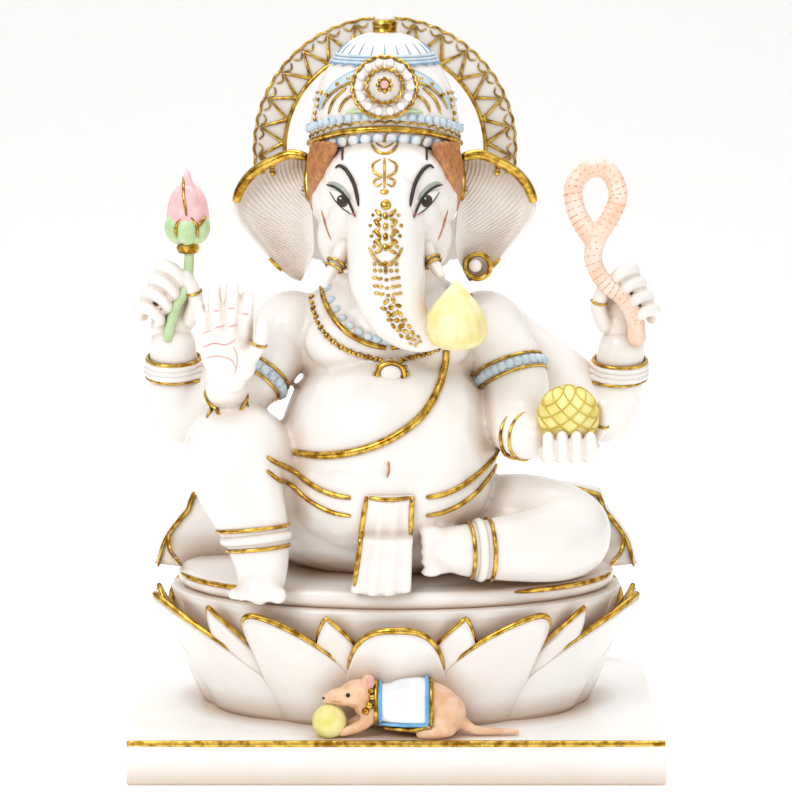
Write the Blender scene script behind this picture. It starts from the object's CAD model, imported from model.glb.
"""Ganesha idol in polished marble, with gilded relief and enamel paint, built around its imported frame.

Sizes are millimetres until a piece is finished, when it is scaled to metres. Heights of the figure
are counted from the top of the lotus throne, as in the part's design.
"""
import math

import bmesh
import bpy
import numpy
from mathutils import Matrix, Vector
from mathutils.bvhtree import BVHTree
from mathutils.kdtree import KDTree


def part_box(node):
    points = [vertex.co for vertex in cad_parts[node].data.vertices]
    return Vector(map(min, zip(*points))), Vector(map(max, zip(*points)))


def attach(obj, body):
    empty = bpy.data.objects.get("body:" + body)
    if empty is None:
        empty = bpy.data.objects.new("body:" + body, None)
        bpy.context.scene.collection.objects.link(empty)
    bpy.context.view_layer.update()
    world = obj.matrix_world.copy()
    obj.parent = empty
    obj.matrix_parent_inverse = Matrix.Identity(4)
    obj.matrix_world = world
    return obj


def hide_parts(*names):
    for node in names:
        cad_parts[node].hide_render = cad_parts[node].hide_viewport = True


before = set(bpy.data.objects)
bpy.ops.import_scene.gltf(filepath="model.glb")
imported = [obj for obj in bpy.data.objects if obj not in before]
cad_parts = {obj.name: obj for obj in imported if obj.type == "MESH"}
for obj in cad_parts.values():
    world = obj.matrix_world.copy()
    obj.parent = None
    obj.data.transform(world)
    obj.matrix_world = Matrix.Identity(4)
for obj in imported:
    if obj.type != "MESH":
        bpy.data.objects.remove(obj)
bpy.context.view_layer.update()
MM = 0.001

# --- camera: level with the idol's chest and a little above, from 2.6 m in front ---
VIEW_DISTANCE, VIEW_ELEVATION, AIM_HEIGHT = 2.6, math.radians(10.0), 0.290
camera_data = bpy.data.cameras.new("camera")
camera_data.lens, camera_data.sensor_width = 144.3, 36.0
camera = bpy.data.objects.new("camera", camera_data)
bpy.context.collection.objects.link(camera)
look = Vector((0, math.cos(VIEW_ELEVATION), -math.sin(VIEW_ELEVATION)))
camera.location = Vector((0, 0, AIM_HEIGHT)) - look * VIEW_DISTANCE
camera.rotation_euler = look.to_track_quat("-Z", "Y").to_euler()
bpy.context.scene.camera = camera
bpy.context.scene.view_settings.view_transform = "Standard"


# --- studio: a white sheet that sweeps up behind the idol, and three soft boxes ---
# The sheet is seamless paper; the boxes are large, so that the polish shows broad soft highlights.
def linear(hex_colour):
    """An sRGB hex colour as linear RGBA."""
    parts = [int(hex_colour[i:i + 2], 16) / 255 for i in (1, 3, 5)]
    return (*[c / 12.92 if c <= 0.04045 else ((c + 0.055) / 1.055) ** 2.4 for c in parts], 1.0)


def add_node(tree, kind, inputs=(), **settings):
    """Adds a shader node; inputs are (socket, value or linked output) pairs."""
    made = tree.nodes.new(kind)
    for key, value in settings.items():
        setattr(made, key, value)
    for socket, value in inputs:
        if isinstance(value, bpy.types.NodeSocket):
            tree.links.new(value, made.inputs[socket])
        else:
            made.inputs[socket].default_value = value
    return made


def new_material(name):
    """A material with an empty principled surface; returns it, its tree and the shader node."""
    material = bpy.data.materials.new(name)
    material.use_nodes = True
    return material, material.node_tree, material.node_tree.nodes["Principled BSDF"]


def corners_of(grown):
    """The new corners among what an extrusion gives back."""
    return [g for g in grown if isinstance(g, bmesh.types.BMVert)]


paper, tree, surface = new_material("seamless_paper")
surface.inputs["Base Color"].default_value = linear("#FCFBFA")
surface.inputs["Roughness"].default_value = 0.7
# lit a little from behind, as paper in a light tent is
surface.inputs["Emission Color"].default_value = (1, 1, 1, 1)
surface.inputs["Emission Strength"].default_value = 0.14
bm = bmesh.new()
bmesh.ops.create_grid(bm, x_segments=1, y_segments=1, size=3.0)
back = [e for e in bm.edges if all(v.co.y > 0 for v in e.verts)]
SWEEP_RADIUS, SWEEP_STEPS = 1.2, 12
for step in range(SWEEP_STEPS):
    rise = (step + 1) * math.pi / 2 / SWEEP_STEPS
    grown = bmesh.ops.extrude_edge_only(bm, edges=back)["geom"]
    back = [g for g in grown if isinstance(g, bmesh.types.BMEdge)]
    for v in {v for e in back for v in e.verts}:
        v.co.y = 3.0 + SWEEP_RADIUS * math.sin(rise)
        v.co.z = SWEEP_RADIUS * (1 - math.cos(rise))
grown = bmesh.ops.extrude_edge_only(bm, edges=back)["geom"]
bmesh.ops.translate(bm, vec=(0, 0, 4), verts=corners_of(grown))
mesh = bpy.data.meshes.new("paper_sweep")
bm.to_mesh(mesh)
bm.free()
mesh.materials.append(paper)
floor = bpy.data.objects.new("paper_sweep", mesh)
bpy.context.collection.objects.link(floor)

SOFT_BOXES = [  # name, place, size, power
    ("key_box", (-1.5, -2.2, 2.3), 1.5, 38),
    ("fill_box", (2.3, -1.8, 1.2), 1.8, 12),
    ("top_box", (0.0, 0.5, 2.8), 1.8, 30),
]
for name, place, size, power in SOFT_BOXES:
    lamp = bpy.data.lights.new(name, "AREA")
    lamp.shape, lamp.size, lamp.energy = "SQUARE", size, power
    holder = bpy.data.objects.new(name, lamp)
    holder.location = place
    holder.rotation_euler = (Vector((0, 0, 0.3)) - Vector(place)).to_track_quat("-Z", "Y").to_euler()
    bpy.context.collection.objects.link(holder)
world = bpy.data.worlds.new("studio")
bpy.context.scene.world = world
world.use_nodes = True
tree = world.node_tree
place = add_node(tree, "ShaderNodeTexCoord")
split = add_node(tree, "ShaderNodeSeparateXYZ", [(0, place.outputs["Generated"])])
band = add_node(tree, "ShaderNodeValToRGB", [(0, split.outputs[2])])
# a dark strip low in the room gives the gilding its dark edges
for spot, colour in ((0.0, "#E6E2DC"), (0.04, "#6A655E"), (0.22, "#8D8982"), (0.45, "#FFFFFF")):
    stop = band.color_ramp.elements.new(spot)
    stop.color = linear(colour)
band.color_ramp.elements.remove(band.color_ramp.elements[0])
background = tree.nodes["Background"]
tree.links.new(band.outputs["Color"], background.inputs["Color"])
background.inputs["Strength"].default_value = 0.76


# --- plinth: one slab of white marble, sawn, ground and polished ---
# Its rear corners are rounded, its edges are eased, and the figure is dowelled to its top.
def two_tones(tree, source, low, high):
    """A ramp between two (position, hex colour) tones, driven by a pattern's value."""
    ramp = add_node(tree, "ShaderNodeValToRGB", [(0, source)])
    for stop, (position, colour) in zip(ramp.color_ramp.elements, (low, high)):
        stop.position, stop.color = position, linear(colour)
    return ramp.outputs["Color"]


def vary_gloss(tree, surface, source, low, high):
    """Lets the roughness follow a pattern between two values."""
    gloss = add_node(tree, "ShaderNodeMapRange", [("Value", source), ("To Min", low), ("To Max", high)])
    tree.links.new(gloss.outputs[0], surface.inputs["Roughness"])


def add_bump(tree, surface, height, strength, distance):
    """Gives the finish a fine relief from a pattern's value."""
    bump = add_node(tree, "ShaderNodeBump", [("Height", height), ("Strength", strength),
                                             ("Distance", distance)])
    tree.links.new(bump.outputs[0], surface.inputs["Normal"])


def polished_marble():
    """Makrana-type marble: warm white, faint grey-beige clouds, a wet polish and a little light inside."""
    material, tree, surface = new_material("polished_marble")
    place = add_node(tree, "ShaderNodeTexCoord").outputs["Object"]
    cloud = add_node(tree, "ShaderNodeTexNoise", [("Vector", place), ("Scale", 9.0), ("Detail", 6.0),
                                                  ("Roughness", 0.62), ("Distortion", 1.1)])
    tint = two_tones(tree, cloud.outputs["Fac"], (0.30, "#F0ECE7"), (0.58, "#F9F6F3"))
    # hollows hold a trace of warm grey, where the polishing pad can't reach
    hollow = add_node(tree, "ShaderNodeAmbientOcclusion", [("Distance", 0.022)], samples=6)
    depth = add_node(tree, "ShaderNodeMath", [(0, hollow.outputs["AO"]), (1, 1.6)], operation="POWER")
    mixed = add_node(tree, "ShaderNodeMix", [("Factor", depth.outputs[0]), (6, linear("#D3BBA6")),
                                             (7, tint)], data_type="RGBA")
    tree.links.new(mixed.outputs[2], surface.inputs["Base Color"])
    # crystals of about 1 mm give a very slight unevenness under the polish
    grain = add_node(tree, "ShaderNodeTexNoise", [("Vector", place), ("Scale", 700.0), ("Detail", 3.0)])
    add_bump(tree, surface, grain.outputs["Fac"], 0.04, 0.0006)
    vary_gloss(tree, surface, cloud.outputs["Fac"], 0.16, 0.30)
    surface.inputs["IOR"].default_value = 1.49
    surface.inputs["Subsurface Weight"].default_value = 0.12
    surface.inputs["Subsurface Radius"].default_value = (0.004, 0.0035, 0.003)
    surface.inputs["Subsurface Scale"].default_value = 1.0
    return material


marble = polished_marble()


def finish_piece(name, bm, material, replaces=(), lift=0.0, smooth=True):
    """Turns a bmesh in millimetres into a piece of the idol, lifted to its height and fixed to the body."""
    bmesh.ops.recalc_face_normals(bm, faces=bm.faces)
    bmesh.ops.translate(bm, vec=(0, 0, lift), verts=bm.verts)
    bmesh.ops.scale(bm, vec=(MM, MM, MM), verts=bm.verts)
    mesh = bpy.data.meshes.new(name)
    bm.to_mesh(mesh)
    bm.free()
    for polygon in mesh.polygons:
        polygon.use_smooth = smooth
    mesh.materials.append(material)
    piece = bpy.data.objects.new(name, mesh)
    bpy.context.collection.objects.link(piece)
    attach(piece, "root")
    if replaces:
        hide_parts(*replaces)
    return piece


def box_mm(node):
    """A node's lowest and highest corners, in millimetres."""
    low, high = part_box(node)
    return Vector(low) / MM, Vector(high) / MM


slab_low, slab_high = box_mm("plinth")
CORNER_RADIUS, CORNER_STEPS, EASED_EDGE = 46, 10, 2.2


def slab_outline(inset=0.0):
    """Corner points of the plinth's plan, square in front and round behind."""
    w, d, r = slab_high.x - inset, slab_high.y - inset, CORNER_RADIUS - inset
    quarter = [math.pi / 2 * i / CORNER_STEPS for i in range(CORNER_STEPS + 1)]
    right = [(w - r + r * math.cos(t), d - r + r * math.sin(t)) for t in quarter]
    return [(-w, -d), (w, -d)] + right + [(-x, y) for x, y in reversed(right)]


bm = bmesh.new()
base = bm.faces.new([bm.verts.new((x, y, slab_low.z)) for x, y in slab_outline()])
grown = bmesh.ops.extrude_face_region(bm, geom=[base])["geom"]
bmesh.ops.translate(bm, vec=(0, 0, slab_high.z - slab_low.z), verts=corners_of(grown))
rims = [e for e in bm.edges if abs(e.verts[0].co.z - e.verts[1].co.z) < 0.01 or
        (abs(e.verts[0].co.x - e.verts[1].co.x) < 0.01 and abs(abs(e.verts[0].co.x) - slab_high.x) < 0.01
         and e.verts[0].co.y < 0)]
bmesh.ops.bevel(bm, geom=rims, offset=EASED_EDGE, segments=3, profile=0.5, affect="EDGES", material=-1,
                clamp_overlap=True)
slab = finish_piece("marble_plinth", bm, marble, ["plinth"], smooth=False)
slab.data.shade_smooth()
slab.data.set_sharp_from_angle(angle=math.radians(35))


# --- plinth gilding: a cord of gold leaf along the slab's front edge ---
# Beaten leaf over a raised bead of size, burnished. The bead follows the top front arris.
def burnished_leaf():
    """Burnished 23 carat leaf: a warm mirror with soft waves, dark where it meets the stone."""
    material, tree, surface = new_material("burnished_gold_leaf")
    place = add_node(tree, "ShaderNodeTexCoord").outputs["Object"]
    wave = add_node(tree, "ShaderNodeTexNoise", [("Vector", place), ("Scale", 160.0), ("Detail", 4.0)])
    tint = two_tones(tree, wave.outputs["Fac"], (0.36, "#9A6A16"), (0.60, "#E9C25A"))
    # the leaf is worn and grimy where it turns under to the stone
    edge = add_node(tree, "ShaderNodeAmbientOcclusion", [("Distance", 0.0045)], samples=6)
    depth = add_node(tree, "ShaderNodeMapRange", [("Value", edge.outputs["AO"]), ("From Min", 0.25),
                                                  ("From Max", 0.85)])
    worn = add_node(tree, "ShaderNodeMix", [("Factor", depth.outputs[0]), (6, linear("#4E3208")),
                                            (7, tint)], data_type="RGBA")
    tree.links.new(worn.outputs[2], surface.inputs["Base Color"])
    surface.inputs["Metallic"].default_value = 1.0
    vary_gloss(tree, surface, wave.outputs["Fac"], 0.14, 0.34)
    # the brush marks of the size lie about 2 mm apart under the leaf
    add_bump(tree, surface, wave.outputs["Fac"], 0.25, 0.001)
    return material


gold = burnished_leaf()


def smooth_path(points, step):
    """Points about step apart on a smooth curve through the given ones; extra values are carried along."""
    before = [2 * a - b for a, b in zip(points[0], points[1])]
    after = [2 * a - b for a, b in zip(points[-1], points[-2])]
    knots = [before, *points, after]
    path = []
    for a, b, c, d in zip(knots, knots[1:], knots[2:], knots[3:]):
        count = max(1, round(math.dist(b[:3], c[:3]) / step))
        for t in (i / count for i in range(count)):
            path.append(tuple(0.5 * (2 * q + (r - p) * t + (2 * p - 5 * q + 4 * r - s) * t * t
                                     + (3 * q - p - 3 * r + s) * t ** 3)
                              for p, q, r, s in zip(a, b, c, d)))
    return path + [tuple(points[-1])]


def add_line(bm, points, width, closed=False, tip=0.4, sides=2):
    """A rounded raised line along the points, in millimetres, thinning to tip of its width at open ends."""
    curve = bpy.data.curves.new("line", "CURVE")
    curve.dimensions, curve.bevel_depth, curve.bevel_resolution = "3D", width / 2, sides
    curve.use_fill_caps = not closed
    spline = curve.splines.new("POLY")
    spline.points.add(len(points) - 1)
    spline.use_cyclic_u = closed
    for i, point in enumerate(points):
        spline.points[i].co = (*point[:3], 1)
        near = min(i, len(points) - 1 - i) / max(2, len(points) * 0.18)
        spline.points[i].radius = 1 if closed else min(1, tip + (1 - tip) * math.sqrt(min(1, near)))
    holder = bpy.data.objects.new("line", curve)
    mesh = bpy.data.meshes.new_from_object(holder)
    bm.from_mesh(mesh)
    bpy.data.meshes.remove(mesh)
    bpy.data.objects.remove(holder)
    bpy.data.curves.remove(curve)


strip_low, strip_high = box_mm("plinth_gilding")
BEAD_WIDTH = 6.0
bm = bmesh.new()
bead_z, bead_y = strip_high.z - BEAD_WIDTH / 2 + 0.6, strip_low.y + BEAD_WIDTH / 2 - 0.8
add_line(bm, smooth_path([(strip_low.x + 1, bead_y, bead_z), (0, bead_y, bead_z),
                          (strip_high.x - 1, bead_y, bead_z)], 12), BEAD_WIDTH, tip=0.9)
finish_piece("gold_edge_bead", bm, gold, ["plinth_gilding"])


# --- lotus throne: a bowl of stone, elliptic, widening upwards, with petals carved on its wall ---
# It is one block, dowelled to the plinth below and the figure above.
SEAT, LOTUS_HEIGHT = 134, 98
FOOT_HALF, TOP_HALF, BOWL_ASPECT = (150, 86), (186, 107), 0.57
PETAL_COUNT = 12


def lotus_wall(angle, height, out=0.0):
    """A point on the lotus bowl: height 0 at its foot, 1 at its top; out is the distance off the wall."""
    share = max(height, 0) ** 0.8
    rx = FOOT_HALF[0] + (TOP_HALF[0] - FOOT_HALF[0]) * share + out
    ry = FOOT_HALF[1] + (TOP_HALF[1] - FOOT_HALF[1]) * share + out
    return Vector((rx * math.cos(angle), ry * math.sin(angle), SEAT - LOTUS_HEIGHT * (1 - height)))


bm = bmesh.new()
bmesh.ops.create_circle(bm, segments=96, radius=1, cap_ends=True)
base = bm.faces[:]
for v in bm.verts:
    v.co = lotus_wall(math.atan2(v.co.y, v.co.x), 0, -3)
for height in (0, 0.02, 0.1, 0.2, 0.35, 0.5, 0.65, 0.8, 0.92, 0.985, 1.0):
    grown = bmesh.ops.extrude_face_region(bm, geom=base)["geom"]
    base = [g for g in grown if isinstance(g, bmesh.types.BMFace)]
    for v in corners_of(grown):
        v.co = lotus_wall(math.atan2(v.co.y / BOWL_ASPECT, v.co.x), height, -3 if height in (0, 1.0) else 0)
# the caps that the steps leave inside are taken away
inside = [f for f in bm.faces if len(f.verts) > 4 and f.calc_center_median().z > slab_high.z + 1 and f not in base]
bmesh.ops.delete(bm, geom=inside, context="FACES")
finish_piece("lotus_bowl", bm, marble, ["lotus_base"])


def petal_edge(across, low, top, point):
    """Height of a petal's edge: across runs -1 to 1; point above 1 makes a sharper tip."""
    return low + (top - low) * max(0.0, 1 - abs(across) ** point) ** 0.75


def petal_point(angle, half_angle, across, height, edge, out, sweep=0.0):
    """A point of a petal that stands off the bowl, most at its middle and at its tip, which sweeps sideways."""
    share = height / max(edge, 0.01)
    angle += half_angle * sweep * height ** 2
    belly = (1 - across ** 2) * (0.45 + 0.55 * share ** 2)
    curl = 5.0 * max(0.0, share - 0.75) ** 1.2
    return lotus_wall(angle + across * half_angle, height, out * belly + curl * 4 * (1 - across ** 2) - 2)


def pour(part, bm):
    """Adds a finished part to a piece and frees it."""
    mesh = bpy.data.meshes.new("part")
    part.to_mesh(mesh)
    part.free()
    bm.from_mesh(mesh)
    bpy.data.meshes.remove(mesh)


def add_petal(bm, angle, half_angle, low, top, out, point, sweep=0.0, wall=5.0):
    """One petal: a sheet laid on the bowl's wall, then given its thickness."""
    sheet = bmesh.new()
    bmesh.ops.create_grid(sheet, x_segments=20, y_segments=12, size=1)
    for v in sheet.verts:
        across, up = v.co.x, (v.co.y + 1) / 2
        edge = petal_edge(across, low, top, point)
        v.co = petal_point(angle, half_angle, across, up * edge, edge, out, sweep)
    bmesh.ops.recalc_face_normals(sheet, faces=sheet.faces)
    bmesh.ops.solidify(sheet, geom=sheet.faces[:], thickness=wall)
    bmesh.ops.recalc_face_normals(sheet, faces=sheet.faces)
    pour(sheet, bm)


def petal_rim(angle, half_angle, low, top, out, point, sweep=0.0, inset=0.0, count=48):
    """The points of a petal's gilded edge."""
    path = []
    for i in range(count + 1):
        across = math.sin((i / count - 0.5) * math.pi) * 0.985
        edge = petal_edge(across, low, top, point)
        path.append(petal_point(angle, half_angle, across, edge * (1 - inset), edge, out + 1.5, sweep))
    return path


petal_bm, tip_bm, rim_bm = bmesh.new(), bmesh.new(), bmesh.new()
OUTER = dict(low=0.24, top=0.96, out=14, point=1.9)
FRONT = dict(low=0.16, top=0.90, out=19, point=2.7)
INNER = dict(low=0.5, top=0.965, out=8, point=1.2)
FRONT_ANGLE = -math.pi / 2
STEP = 2 * math.pi / PETAL_COUNT


def petal_angle(turn):
    """Where a petal sits: closer together on the ellipse's long flanks, with room for the broad front one."""
    return FRONT_ANGLE + turn - 0.24 * math.sin(2 * turn) + 0.08 * math.sin(turn) * (1 + math.cos(turn))


def swept(turn, amount):
    """How far a petal leans round the bowl, away from the front."""
    return amount * math.copysign(abs(math.sin(turn)) ** 0.6, math.sin(turn))


add_petal(petal_bm, FRONT_ANGLE, 0.255, **FRONT)
add_line(rim_bm, petal_rim(FRONT_ANGLE, 0.255, **FRONT), 6.0, tip=0.6)
add_line(rim_bm, petal_rim(FRONT_ANGLE, 0.225, inset=0.075, **FRONT), 3.0, tip=0.6)
for i in range(PETAL_COUNT):
    turn = STEP * i
    half = (petal_angle(turn + STEP) - petal_angle(turn - STEP)) / 4 * 1.1
    if i > 0:
        outer = dict(OUTER, sweep=swept(turn, 1.35))
        add_petal(petal_bm, petal_angle(turn), half, **outer)
        add_line(rim_bm, petal_rim(petal_angle(turn), half, **outer), 5.4, tip=0.6)
    middle = turn + STEP / 2
    between, inner = petal_angle(middle) + 0.2 * math.sin(middle), dict(INNER, sweep=swept(middle, 1.0))
    add_petal(tip_bm, between, 0.125, **inner)
    add_line(rim_bm, petal_rim(between, 0.125, **inner), 4.2, tip=0.6)
finish_piece("lotus_outer_petals", petal_bm, marble, ["lotus_petals"])
finish_piece("lotus_inner_tips", tip_bm, marble, ["lotus_inner_petals"])
finish_piece("petal_edge_gilding", rim_bm, gold)


# --- cushion: carved from the seat's block, flat on the lotus, with a low backrest behind the hips ---
# Its piping is gilded; the stone reads as cloth pulled tight between the corners.
bm = bmesh.new()
PAD_HALF, PAD_THICK, BACK_Y, BACK_WALL = (180, 101), 16, 44, 24
bmesh.ops.create_cube(bm, size=1)
bmesh.ops.subdivide_edges(bm, edges=bm.edges[:], cuts=7, use_grid_fill=True)
for v in bm.verts:
    x, y, z = v.co * 2
    # a square-to-ellipse plan, crowned a little, its rim pulled in
    plan = Vector((x * math.sqrt(1 - y * y / 2), y * math.sqrt(1 - x * x / 2)))
    rim = max(abs(x), abs(y))
    bulge = 1 - 0.04 * abs(z) ** 3
    v.co = (plan.x * PAD_HALF[0] * bulge, plan.y * PAD_HALF[1] * bulge,
            PAD_THICK * (0.5 + z / 2) - (1.5 if z > 0.9 and rim > 0.9 else 0))
BACK_PROFILE = [(202, 8), (196, 30), (176, 56), (154, 74)]
BACK_FOOT = [(176, 5), (158, 1), (-158, 1), (-176, 5)]
back_path = smooth_path([(-x, BACK_Y, z) for x, z in BACK_PROFILE] + [(0, BACK_Y, 78)]
                        + [(x, BACK_Y, z) for x, z in reversed(BACK_PROFILE)], 9)
back_outline = [(x, z) for x, _, z in back_path] + BACK_FOOT
sheet = bm.faces.new([bm.verts.new((x, BACK_Y - BACK_WALL / 2, z)) for x, z in back_outline])
grown = bmesh.ops.extrude_face_region(bm, geom=[sheet])["geom"]
bmesh.ops.translate(bm, vec=(0, BACK_WALL, 0), verts=corners_of(grown))
upper_rims = [e for e in bm.edges if all(abs(abs(v.co.y - BACK_Y) - BACK_WALL / 2) < 0.01 and v.co.z > 8.5
                                         for v in e.verts)
              and len({round(v.co.y) for v in e.verts}) == 1 and any(len(f.verts) > 8 for f in e.link_faces)]
bmesh.ops.bevel(bm, geom=upper_rims, offset=7, segments=4, profile=0.5, affect="EDGES", material=-1)
finish_piece("carved_cushion", bm, marble, ["seat_cushion"], lift=SEAT)
bm = bmesh.new()
add_line(bm, [(p[0] * 0.985, BACK_Y - 13.5, p[2] - 2) for p in back_path], 4.6)
front_piping = [(PAD_HALF[0] * 0.995 * math.cos(t), PAD_HALF[1] * 0.995 * math.sin(t), PAD_THICK * 0.72)
                for t in [math.radians(-170 + 160 * i / 90) for i in range(91)]]
add_line(bm, front_piping[:28], 4.4)
add_line(bm, front_piping[-28:], 4.4)
for side in (-1, 1):
    fold = smooth_path([(side * 190, BACK_Y - 15, 34), (side * 188, 20, 22), (side * 176, -18, 18)], 5)
    add_line(bm, fold, 4.6)
finish_piece("cushion_piping", bm, gold, lift=SEAT)


# --- body: torso, two legs and four arms, carved from one block and finished as separate regions ---
# The stone is roughed out as rounded masses, blended with the rasp, and polished wet.
def add_ellipsoid(bm, place, radii, detail=2):
    """A rounded mass with these half sizes, standing at the place."""
    bmesh.ops.create_icosphere(bm, subdivisions=detail, radius=1, matrix=place @ Matrix.Diagonal((*radii, 1)))


def add_ball(bm, at, radius, detail=2):
    """A small round bead."""
    bmesh.ops.create_icosphere(bm, subdivisions=detail, radius=radius, matrix=Matrix.Translation(at))


def along(points, share=0.3):
    """A limb from (x, y, z, radius) points as closely spaced balls."""
    step = max(1.0, share * min(p[3] for p in points))
    return [((x, y, z), (r, r, r)) for x, y, z, r in smooth_path(points, step)]


def carve(masses, voxel, passes):
    """Blends masses, a list of (centre, radii), into one closed skin, in millimetres."""
    bm = bmesh.new()
    for centre, radii in masses:
        add_ellipsoid(bm, Matrix.Translation(centre), radii, 3)
    mesh = bpy.data.meshes.new("rough")
    bm.to_mesh(mesh)
    bm.free()
    rough = bpy.data.objects.new("rough", mesh)
    bpy.context.collection.objects.link(rough)
    skin = rough.modifiers.new("skin", "REMESH")
    skin.mode, skin.voxel_size, skin.use_smooth_shade = "VOXEL", voxel, True
    rasp = rough.modifiers.new("rasp", "SMOOTH")
    rasp.factor, rasp.iterations = 0.5, passes
    result = bpy.data.meshes.new_from_object(rough.evaluated_get(bpy.context.evaluated_depsgraph_get()))
    bpy.data.objects.remove(rough)
    bpy.data.meshes.remove(mesh)
    bm = bmesh.new()
    bm.from_mesh(result)
    bpy.data.meshes.remove(result)
    return bm


def press(bm, paths, width, depth):
    """Presses a groove (or raises a ridge, with a negative depth) of this width along each path."""
    points = [Vector(p[:3]) for path in paths for p in path]
    tree = KDTree(len(points))
    for i, point in enumerate(points):
        tree.insert(point, i)
    tree.balance()
    bm.normal_update()
    for v in bm.verts:
        gap = tree.find(v.co)[2]
        if gap < 2.5 * width:
            v.co -= v.normal * depth * math.exp(-(gap / width) ** 2)


def split_skin(bm, regions):
    """Splits a skin into {name: bmesh}: each face goes to the region whose nearest mass it is closest to."""
    names = list(regions)
    centres = numpy.array([mass[0] for n in names for mass in regions[n]], dtype=float)
    radii = numpy.array([mass[1] for n in names for mass in regions[n]], dtype=float)
    owner = numpy.array([i for i, n in enumerate(names) for _ in regions[n]])
    middles = numpy.array([f.calc_center_median() for f in bm.faces])
    belongs = numpy.empty(len(middles), dtype=int)
    for start in range(0, len(middles), 4000):
        part = middles[start:start + 4000, None, :] - centres[None]
        far = numpy.sqrt(((part / radii[None]) ** 2).sum(axis=2))
        belongs[start:start + 4000] = owner[far.argmin(axis=1)]
    bm.faces.ensure_lookup_table()
    pieces = {}
    for index, name in enumerate(names):
        piece = bm.copy()
        piece.faces.ensure_lookup_table()
        bmesh.ops.delete(piece, geom=[piece.faces[i] for i in numpy.nonzero(belongs != index)[0]],
                         context="FACES")
        open_edges = [e for e in piece.edges if e.is_boundary]
        caps = bmesh.ops.holes_fill(piece, edges=open_edges, sides=0)["faces"]
        middle = sum((v.co for v in piece.verts), Vector()) / len(piece.verts)
        for cap in caps:
            hub = bmesh.ops.poke(piece, faces=[cap])["verts"][0]
            hub.co = hub.co.lerp(middle, 0.15)
        pieces[name] = piece
    return pieces


TORSO = [((-6, -22, 118), (90, 80, 92)), ((-6, -6, 205), (80, 58, 60)), ((-6, 8, 50), (116, 76, 46)),
         ((-84, -4, 212), (34, 34, 32)), ((72, -4, 212), (34, 34, 32)), ((-9, -6, 258), (48, 44, 30)),
         ((-40, -40, 208), (34, 24, 26)), ((28, -40, 208), (34, 24, 26)), ((-8, -30, 90), (88, 76, 60))]
RIGHT_LEG = along([(-58, -4, 54, 36), (-104, -34, 92, 42), (-129, -60, 120, 42), (-123, -80, 94, 34),
                   (-112, -92, 64, 27), (-107, -98, 40, 22), (-107, -100, 28, 20)])
RIGHT_LEG += [((-108, -104, 24), (18, 20, 11))] + along([(-108, -108, 20, 11), (-108, -114, 18, 10)])
RIGHT_LEG += [((-108 + dx, -117 - lift, 17), (r, 9, r)) for dx, r, lift in
              ((15, 7.2, 1), (3, 5.6, 2), (-6, 5.2, 1.5), (-14, 4.8, 0), (-21, 4.4, -3))]
LEFT_LEG = along([(50, -6, 52, 36), (104, -22, 52, 43), (138, -40, 50, 37), (120, -72, 48, 31),
                  (78, -90, 48, 25), (56, -94, 48, 21), (44, -95, 50, 18)])
LEFT_LEG += [((38, -96, 47), (15, 11, 18))]
LEFT_LEG += [((28 if i else 27, -98, 64 - 8.2 * i), (9, 6.6 - 0.4 * i, 6.4 - 0.45 * i)) for i in range(5)]
REAR_RIGHT_ARM = along([(-92, 6, 208, 28), (-142, 20, 168, 25), (-174, 22, 136, 25), (-182, 18, 160, 22),
                        (-183, 12, 196, 19)])
REAR_LEFT_ARM = along([(80, 6, 208, 28), (134, 20, 170, 25), (171, 22, 138, 25), (182, 18, 164, 22),
                       (185, 12, 194, 19)])
FRONT_RIGHT_ARM = along([(-90, -10, 206, 28), (-112, -30, 178, 25), (-128, -38, 164, 22),
                         (-134, -56, 168, 18), (-136, -72, 176, 16)])
FRONT_LEFT_ARM = along([(76, -12, 208, 30), (96, -28, 176, 27), (97, -50, 146, 25), (100, -74, 138, 20),
                        (112, -86, 137, 16)])


def finish_regions(skin, regions):
    """Finishes each region of a carved skin as its own piece, named for the design's part."""
    for name, region in split_skin(skin, regions).items():
        made = finish_piece("carved_" + name, region, marble, [name], lift=SEAT)
        made.data.set_sharp_from_angle(angle=math.radians(60))
    skin.free()


regions = {"torso": TORSO, "right_leg": RIGHT_LEG, "left_leg": LEFT_LEG, "rear_right_arm": REAR_RIGHT_ARM,
           "rear_left_arm": REAR_LEFT_ARM, "front_right_arm": FRONT_RIGHT_ARM,
           "front_left_arm": FRONT_LEFT_ARM}
body = carve([mass for part in regions.values() for mass in part], 2.2, 7)
creases = [smooth_path([(-88, -60, 186), (-66, -72, 180), (-44, -78, 183)], 4),
           smooth_path([(76, -60, 186), (54, -72, 180), (36, -78, 183)], 4)]
press(body, creases, 5, 2.2)
NAVEL = [(-7, -104, 118), (-7, -104, 113)]
press(body, [NAVEL], 4, 5)
body_skin = BVHTree.FromBMesh(body)
finish_regions(body, regions)


# --- head and trunk: one mass with broad cheeks, a domed brow and the trunk curling to a sweet ---
# The head sits on a dowel in the neck. The trunk swings across the chest and curls up at its tip.
HEAD = [((-9, -30, 326), (60, 58, 52)), ((-9, -34, 300), (54, 50, 40)), ((-36, -50, 294), (27, 32, 30)),
        ((18, -50, 294), (27, 32, 30)), ((-9, -52, 340), (50, 38, 34)), ((-9, -66, 334), (34, 28, 36)),
        ((-34, -62, 312), (20, 24, 24)), ((16, -62, 312), (20, 24, 24))]
TRUNK = along([(-9, -66, 334, 30), (-8, -78, 312, 31), (-8, -86, 290, 31), (-7, -92, 266, 30),
               (-1, -96, 243, 25), (10, -99, 229, 19), (24, -100, 224, 15), (38, -101, 228, 12),
               (44, -103, 236, 10)], 0.35)
head_regions = {"head": HEAD, "trunk": TRUNK}
head = carve([mass for part in head_regions.values() for mass in part], 1.5, 6)
FACE_X = -9
SOCKET = [(40, -84, 336), (31, -90, 326), (25, -94, 318)]
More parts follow.
